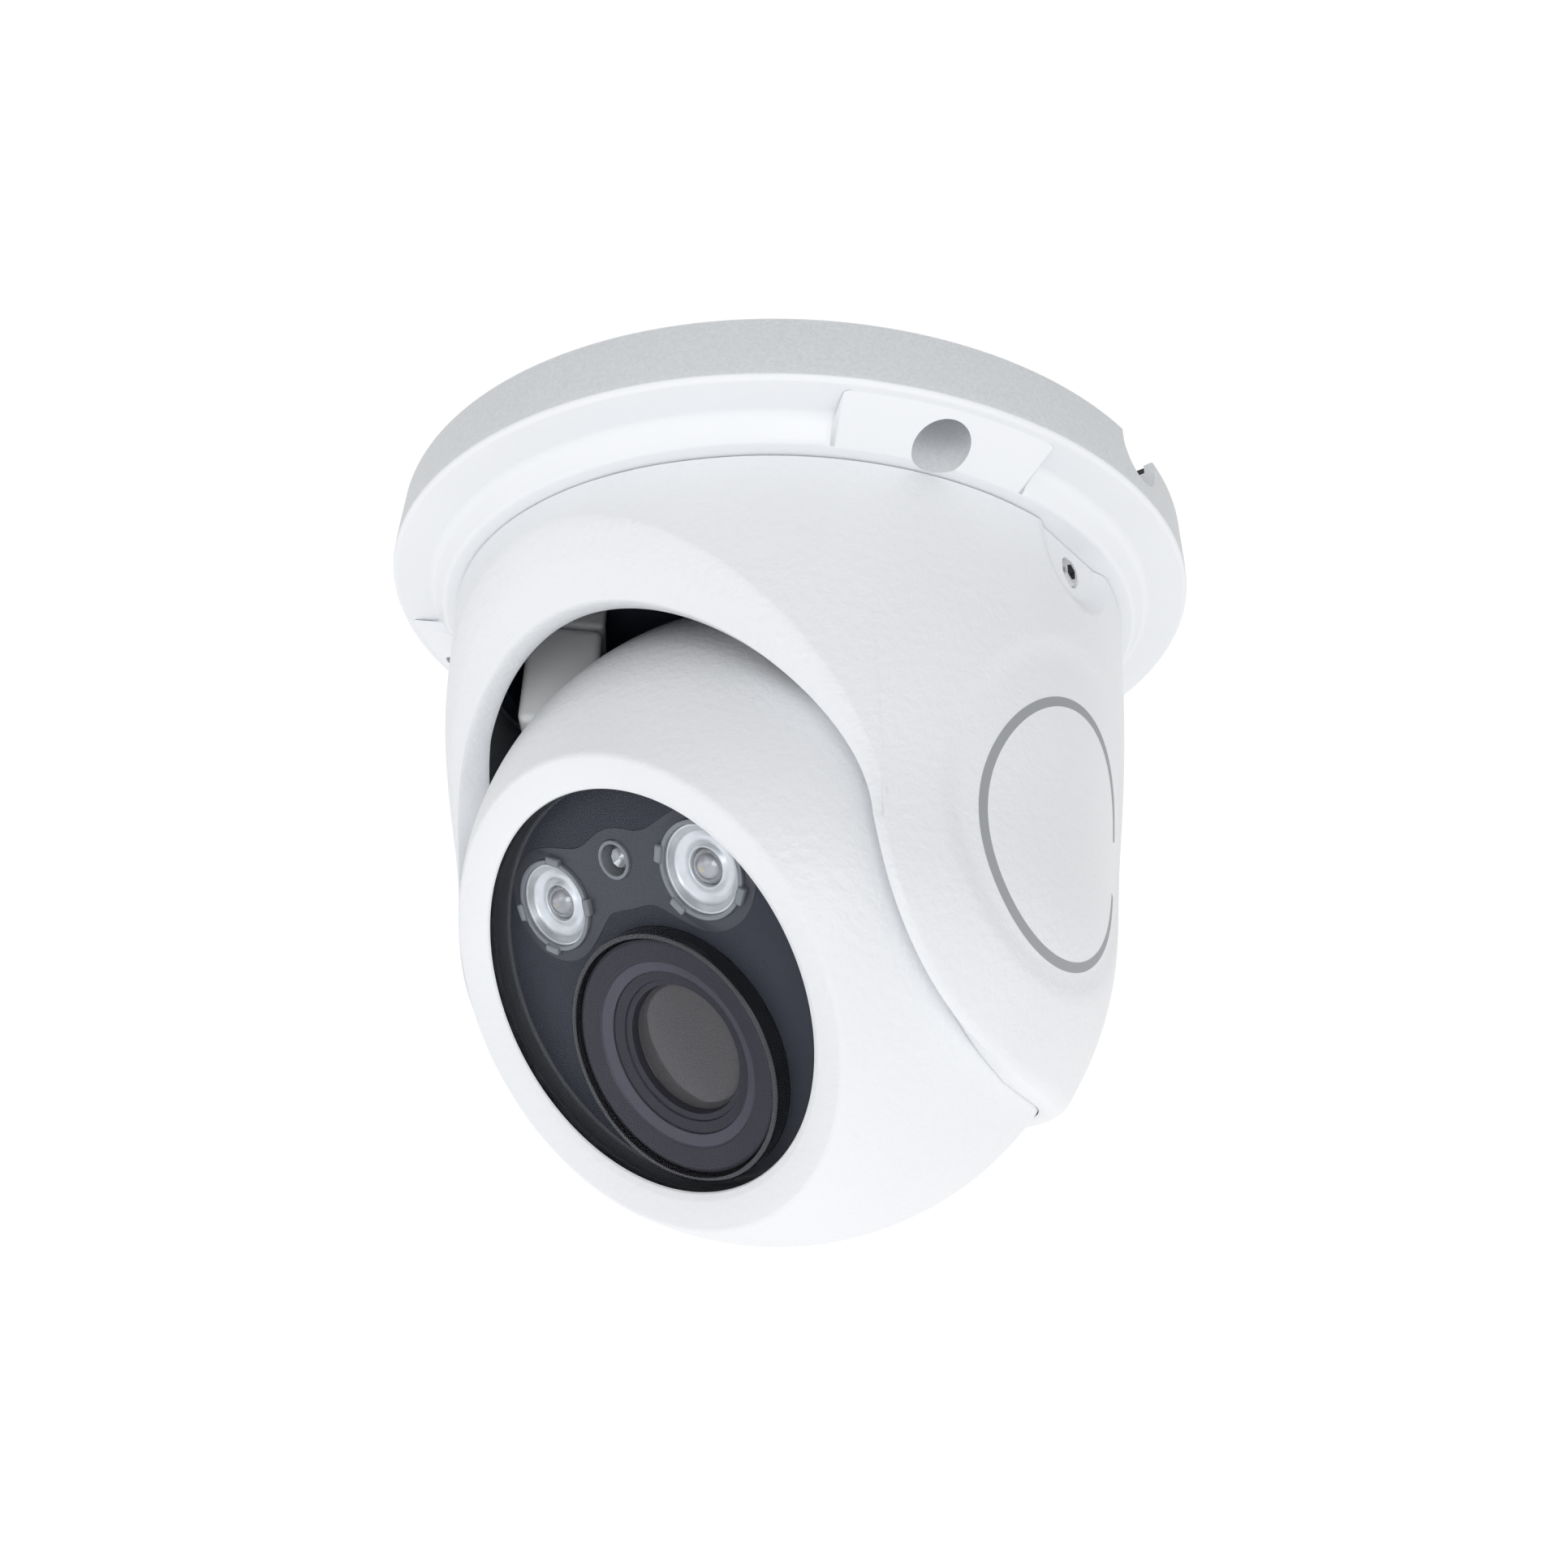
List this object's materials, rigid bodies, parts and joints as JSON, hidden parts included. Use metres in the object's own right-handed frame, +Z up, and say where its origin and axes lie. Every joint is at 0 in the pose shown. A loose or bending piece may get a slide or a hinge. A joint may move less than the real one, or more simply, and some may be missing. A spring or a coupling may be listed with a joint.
{
  "type": "dome cctv camera",
  "caption": "Ceiling-mounted turret dome camera: round base, panning shell with a hood arch, and a tilting, rolling ball with a varifocal lens and infrared lamps behind a flat window.",
  "frame": {"origin": "centre of the ceiling face of the mounting base", "axes": "+Z up into the ceiling; the lens looks towards -Y and down"},
  "size_m": [0.12, 0.12, 0.0985],
  "materials": {
    "white_paint": "fine textured off-white powder coat",
    "black_rubber": "matt black rubber",
    "white_nylon": "slightly translucent natural nylon",
    "steel": "plain steel",
    "clear_window": "clear polished window",
    "dark_panel": "dark navy grey moulded plastic",
    "clear_plastic": "clear moulded acrylic",
    "emitter": "yellowish silicone dome on a white package",
    "sensor_cell": "photocell face",
    "gloss_black": "glossy black plastic",
    "lens_black": "satin black lens plastic",
    "coated_glass": "coated optical glass",
    "lever_metal": "bright metal",
    "carrier": "black acetal",
    "copper_coil": "enamelled copper winding",
    "board_green": "green solder mask",
    "spacer_brass": "turned brass",
    "aluminium": "plain aluminium"
  },
  "bodies": {
    "base": {"mounting_base": "white_paint", "base_gasket": "black_rubber", "friction_pads": "white_nylon", "pad_screws": "steel", "collar_seal": "black_rubber", "cable_grommet": "black_rubber"},
    "shell": {"outer_shell": "white_paint", "set_screws": "steel", "trunnion_bushings": "white_nylon"},
    "gimbal": {"gimbal_ring": "white_paint", "trunnion_pins": "steel"},
    "ball": {"ball_front": "white_paint", "ball_rear": "white_paint", "ball_seal": "black_rubber", "ball_screws": "steel", "cable_gland": "black_rubber", "front_window": "clear_window", "window_gasket": "black_rubber", "face_panel": "dark_panel", "lamp_lenses": "clear_plastic", "lamp_holders": "clear_plastic", "lamp_emitters": "emitter", "lamp_board": "board_green", "light_sensor": "sensor_cell", "sensor_collar": "clear_plastic", "lens_sleeve": "gloss_black", "lens_barrel": "lens_black", "front_element": "coated_glass", "rear_element": "coated_glass", "chassis": "steel", "chassis_screws": "steel", "filter_housing": "lens_black", "filter_coil": "copper_coil", "lens_mount": "lens_black", "image_sensor": "gloss_black", "sensor_board": "board_green", "main_board": "board_green", "board_spacers": "spacer_brass", "board_screws": "steel", "main_chip": "gloss_black", "heat_spreader": "aluminium", "signal_socket": "gloss_black", "power_coil": "gloss_black"},
    "zoom_control": {"zoom_ring": "lens_black", "zoom_lever": "lever_metal"},
    "zoom_group": {"zoom_cell": "lens_black", "zoom_glass": "coated_glass"},
    "focus_control": {"focus_ring": "lens_black", "focus_lever": "lever_metal"},
    "focus_group": {"focus_cell": "lens_black", "focus_glass": "coated_glass"},
    "filter_slide": {"filter_carrier": "carrier", "filter_glasses": "coated_glass"}
  },
  "joints": [
    {"name": "pan", "type": "hinge", "parent": "base", "child": "shell", "pos_m": [0, 0, -0.015], "axis": [0, 0, 1], "range_deg": [-180, 180]},
    {"name": "tilt", "type": "hinge", "parent": "shell", "child": "gimbal", "pos_m": [0, 0, -0.054], "axis": [-1, 0, 0], "range_deg": [-15, 58]},
    {"name": "roll", "type": "hinge", "parent": "gimbal", "child": "ball", "pos_m": [0, 0, -0.054], "axis": [0, -0.848, -0.5299], "range_deg": [-175, 175]},
    {"name": "zoom_turn", "type": "hinge", "parent": "ball", "child": "zoom_control", "pos_m": [0, 0.00487, -0.0618], "axis": [0, -0.848, -0.5299], "range_deg": [-48, 60]},
    {"name": "zoom_travel", "type": "slide", "parent": "ball", "child": "zoom_group", "axis": [0, -0.848, -0.5299], "range_m": [-0.004, 0.005]},
    {"name": "focus_turn", "type": "hinge", "parent": "ball", "child": "focus_control", "pos_m": [0, 0.00487, -0.0618], "axis": [0, -0.848, -0.5299], "range_deg": [-35, 35]},
    {"name": "focus_travel", "type": "slide", "parent": "ball", "child": "focus_group", "axis": [0, -0.848, -0.5299], "range_m": [-0.0025, 0.0025]},
    {"name": "filter_travel", "type": "slide", "parent": "ball", "child": "filter_slide", "axis": [1, 0, 0], "range_m": [0, 0.0086]}
  ],
  "couplings": [
    {"joint": "zoom_travel", "follows": "zoom_turn", "m_per_rad": 0.004775},
    {"joint": "focus_travel", "follows": "focus_turn", "m_per_rad": 0.004093}
  ]
}
